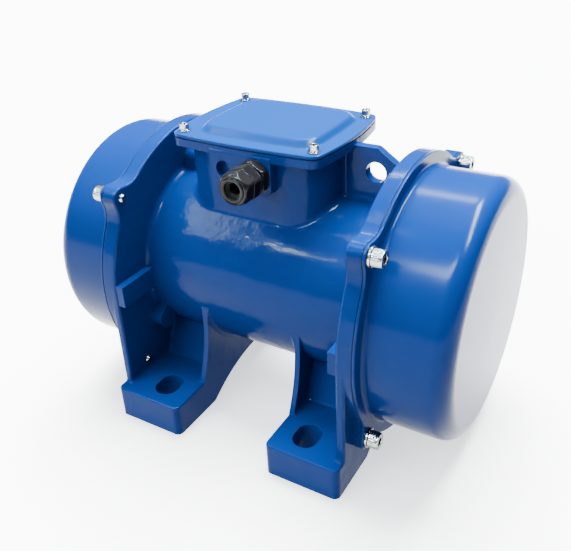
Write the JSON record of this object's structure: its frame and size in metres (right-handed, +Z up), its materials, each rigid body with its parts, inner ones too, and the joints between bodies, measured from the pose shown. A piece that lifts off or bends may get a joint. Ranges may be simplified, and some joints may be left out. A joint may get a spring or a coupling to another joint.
{
  "type": "vibration motor",
  "caption": "Foot-mounted vibration motor: cast barrel on slotted feet, drawn end covers over adjustable eccentric weights, terminal box with cable gland and lifting eye.",
  "frame": {"origin": "middle of the soles' plane, halfway between the two covers and between the front and rear feet", "axes": "+X along the shaft towards the lifting eye, -Y towards the side with the cable gland, +Z up"},
  "size_m": [0.343, 0.2424, 0.2384],
  "materials": {
    "casting_paint": "satin blue paint on a casting",
    "cover_paint": "gloss blue paint on pressed steel",
    "gasket": "dark sheet gasket",
    "zinc_screw": "bright zinc plating",
    "zinc_washer": "bright zinc plating",
    "moulding": "moulded resin",
    "stud_brass": "plain brass",
    "seal_rubber": "matt rubber",
    "gland_nylon": "satin nylon",
    "core_steel": "stacked laminations",
    "winding_copper": "varnished copper",
    "cage_aluminium": "as cast",
    "housing_iron": "machined cast iron",
    "machined_steel": "turned",
    "bearing_steel": "ground",
    "weight_steel": "flame cut and turned"
  },
  "bodies": {
    "casing": {"casing": "casting_paint", "cover_left": "cover_paint", "cover_right": "cover_paint", "terminal_lid": "cover_paint", "cover_gasket_left": "gasket", "cover_gasket_right": "gasket", "lid_gasket": "gasket", "cover_screws": "zinc_screw", "lid_screws": "zinc_screw", "cover_spring_washers": "zinc_washer", "lid_spring_washers": "zinc_washer", "lid_flat_washers": "zinc_washer", "terminal_block": "moulding", "terminal_studs": "stud_brass", "terminal_nuts": "stud_brass", "gland_ring": "seal_rubber", "gland_body": "gland_nylon", "gland_seal": "seal_rubber", "gland_nut": "gland_nylon", "stator_core": "core_steel", "stator_windings": "winding_copper", "bearing_housing_left": "housing_iron", "bearing_housing_right": "housing_iron", "housing_screws": "zinc_screw", "bearing_caps": "machined_steel", "bearing_cap_screws": "zinc_screw", "bearing_outer_rings": "bearing_steel"},
    "rotor": {"shaft": "machined_steel", "rotor_core": "core_steel", "rotor_cage": "cage_aluminium", "bearing_inner_rings": "bearing_steel", "shaft_seals": "seal_rubber", "weight_keys": "machined_steel", "fixed_weight_left": "weight_steel", "fixed_weight_right": "weight_steel", "weight_spacers": "machined_steel", "shaft_circlips": "machined_steel"},
    "bearing_cage_left": {"roller_cage_left": "bearing_steel"},
    "bearing_cage_right": {"roller_cage_right": "bearing_steel"},
    "loose_weight_left": {"adjustable_weight_left": "weight_steel", "clamp_screw_left": "zinc_screw"},
    "loose_weight_right": {"adjustable_weight_right": "weight_steel", "clamp_screw_right": "zinc_screw"}
  },
  "joints": [
    {"name": "rotor_spin", "type": "hinge", "parent": "casing", "child": "rotor", "pos_m": [0, 0, 0.1128], "axis": [1, 0, 0], "continuous": true},
    {"name": "cage_left_spin", "type": "hinge", "parent": "casing", "child": "bearing_cage_left", "pos_m": [-0.105, 0, 0.1128], "axis": [1, 0, 0], "continuous": true},
    {"name": "cage_right_spin", "type": "hinge", "parent": "casing", "child": "bearing_cage_right", "pos_m": [0.105, 0, 0.1128], "axis": [1, 0, 0], "continuous": true},
    {"name": "weight_left_setting", "type": "hinge", "parent": "rotor", "child": "loose_weight_left", "pos_m": [-0.1528, 0, 0.1128], "axis": [1, 0, 0], "range_deg": [0, 180]},
    {"name": "weight_right_setting", "type": "hinge", "parent": "rotor", "child": "loose_weight_right", "pos_m": [0.1528, 0, 0.1128], "axis": [1, 0, 0], "range_deg": [0, 180]}
  ],
  "couplings": [
    {"joint": "cage_left_spin", "follows": "rotor_spin", "ratio": 0.40196},
    {"joint": "cage_right_spin", "follows": "rotor_spin", "ratio": 0.40196}
  ]
}
